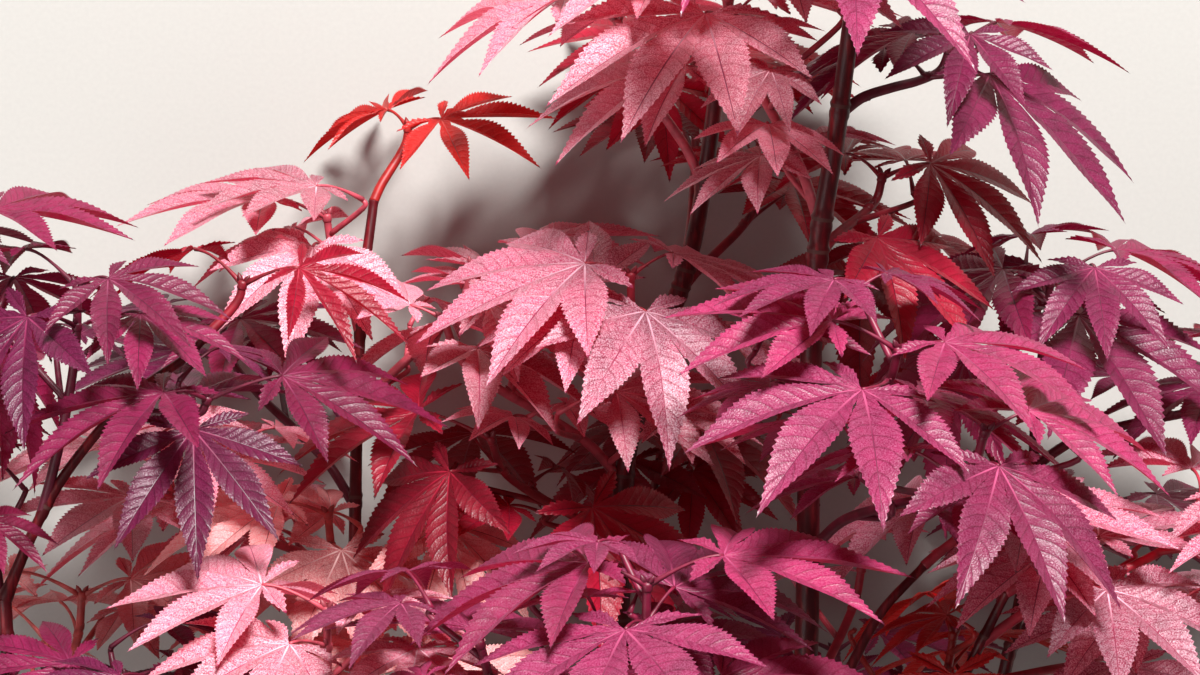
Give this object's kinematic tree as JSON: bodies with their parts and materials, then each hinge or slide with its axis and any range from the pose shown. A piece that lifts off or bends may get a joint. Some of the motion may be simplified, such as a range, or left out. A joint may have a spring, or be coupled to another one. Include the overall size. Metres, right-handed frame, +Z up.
{
  "type": "japanese maple branch",
  "caption": "Cut branch of a red-leaved japanese maple, lying on its leaves: a forked limb with upright stems, side branches and shoots of deeply lobed, saw-edged leaves.",
  "frame": {"origin": "centre of the footprint of the branch's box, on the surface that it lies on", "axes": "+Z up from that surface, +Y from the cut end towards the tips, +X to the right when seen from above with the tips up"},
  "size_m": [0.5658, 0.5372, 0.3135],
  "materials": {
    "bark": "smooth bark, satin",
    "purple_leaves": "velvety leaf, satin",
    "plum_leaves": "velvety leaf, satin",
    "crimson_leaves": "velvety leaf, satin",
    "magenta_leaves": "velvety leaf, satin",
    "rose_leaves": "velvety leaf, satin",
    "pink_leaves": "velvety leaf, satin",
    "salmon_leaves": "velvety leaf, satin",
    "red_leaves": "velvety leaf, satin"
  },
  "bodies": {
    "root": {"cut_limb": "bark", "front_stem": "bark", "rear_stem": "bark", "left_sweep": "bark", "left_riser": "bark", "left_branch": "bark", "left_back_branch": "bark", "right_low_branch": "bark", "right_outer_branch": "bark", "right_back_branch": "bark", "forward_branch": "bark", "centre_shoot": "rose_leaves", "left_tip_shoot": "crimson_leaves", "left_middle_shoot": "purple_leaves", "left_upper_shoot": "purple_leaves", "left_outer_shoot": "plum_leaves", "right_low_shoot": "rose_leaves", "right_outer_shoot": "rose_leaves", "right_young_shoot": "rose_leaves", "crown_left_shoot": "pink_leaves", "crown_right_shoot": "plum_leaves", "crown_middle_shoot": "crimson_leaves", "crown_dark_shoot": "crimson_leaves", "crown_rear_shoot": "pink_leaves", "front_right_shoot": "magenta_leaves", "front_low_right_shoot": "magenta_leaves", "front_low_shoot": "magenta_leaves", "front_low_left_shoot": "magenta_leaves", "centre_left_shoot": "pink_leaves", "centre_low_shoot": "crimson_leaves", "left_low_shoot": "purple_leaves", "left_lit_shoot": "salmon_leaves", "left_lit_far_shoot": "pink_leaves", "left_corner_shoot": "salmon_leaves", "rear_top_shoot": "red_leaves", "rear_left_shoot": "pink_leaves", "right_shoot": "plum_leaves", "right_far_shoot": "plum_leaves", "right_red_shoot": "red_leaves", "right_inner_shoot": "rose_leaves", "front_stem_tip_shoot": "magenta_leaves", "rear_stem_tip_shoot": "rose_leaves", "front_top_shoot": "magenta_leaves", "below_left_shoot": "plum_leaves", "below_middle_shoot": "crimson_leaves", "below_right_shoot": "magenta_leaves", "under_middle_shoot": "crimson_leaves", "under_left_shoot": "purple_leaves", "centre_back_shoot": "pink_leaves", "left_inner_shoot": "salmon_leaves", "right_side_shoot": "rose_leaves", "front_left_shoot": "pink_leaves", "under_right_shoot": "plum_leaves", "under_top_shoot": "crimson_leaves", "under_right_top_shoot": "crimson_leaves", "under_low_shoot": "purple_leaves"}
  },
  "joints": []
}
